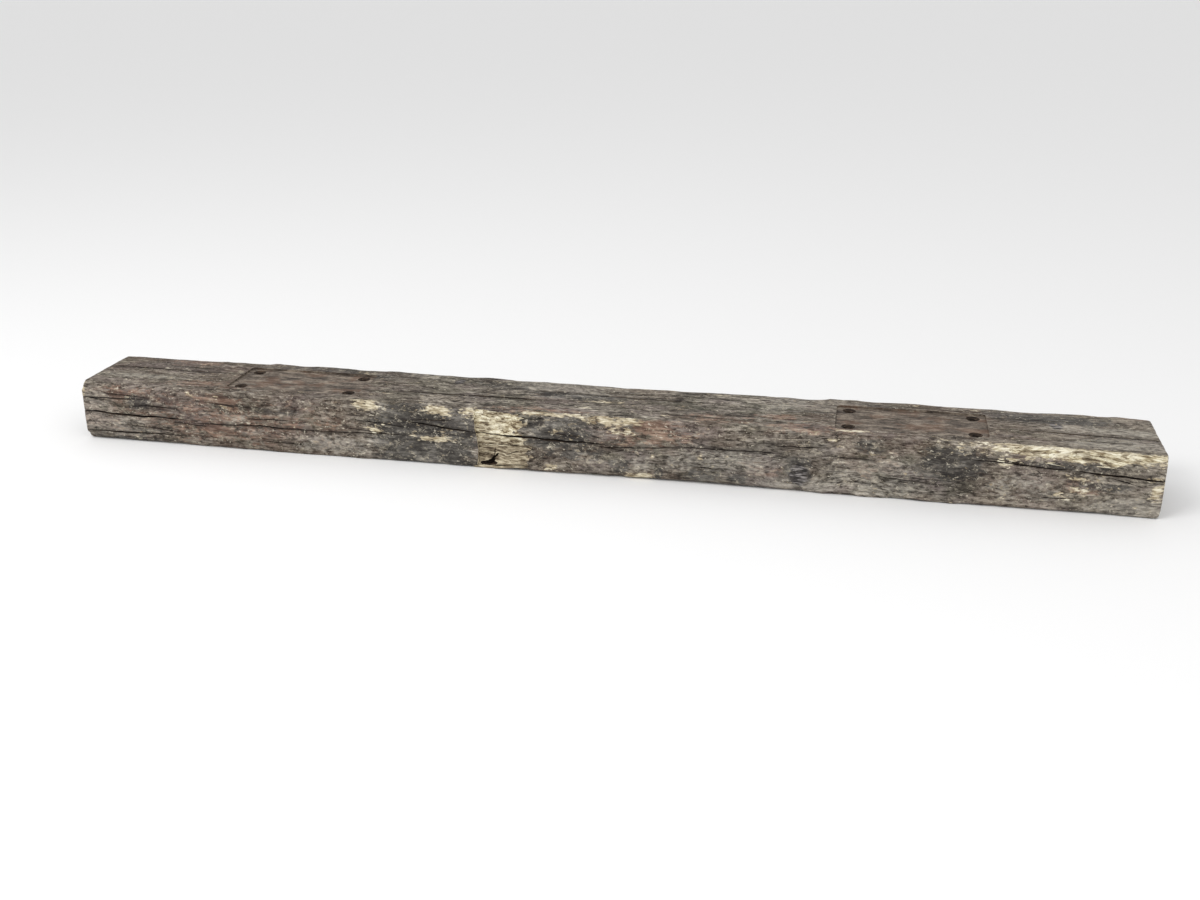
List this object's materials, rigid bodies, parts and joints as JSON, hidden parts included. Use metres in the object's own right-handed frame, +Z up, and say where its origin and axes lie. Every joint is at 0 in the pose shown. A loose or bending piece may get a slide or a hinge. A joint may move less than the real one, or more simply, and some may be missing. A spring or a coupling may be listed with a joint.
{
  "type": "railway sleeper",
  "caption": "Weathered oak railway sleeper with drying cracks, a torn arris, baseplate prints and screw holes.",
  "frame": {"origin": "on the bed, under the middle of the sleeper's box", "axes": "+X along the sleeper, -Y out of the pictured long side, +Z up through the top that carried the rails"},
  "size_m": [2.5998, 0.2509, 0.1501],
  "materials": {
    "weathered_oak": "matte"
  },
  "bodies": {
    "root": {"sleeper": "weathered_oak"}
  },
  "joints": []
}
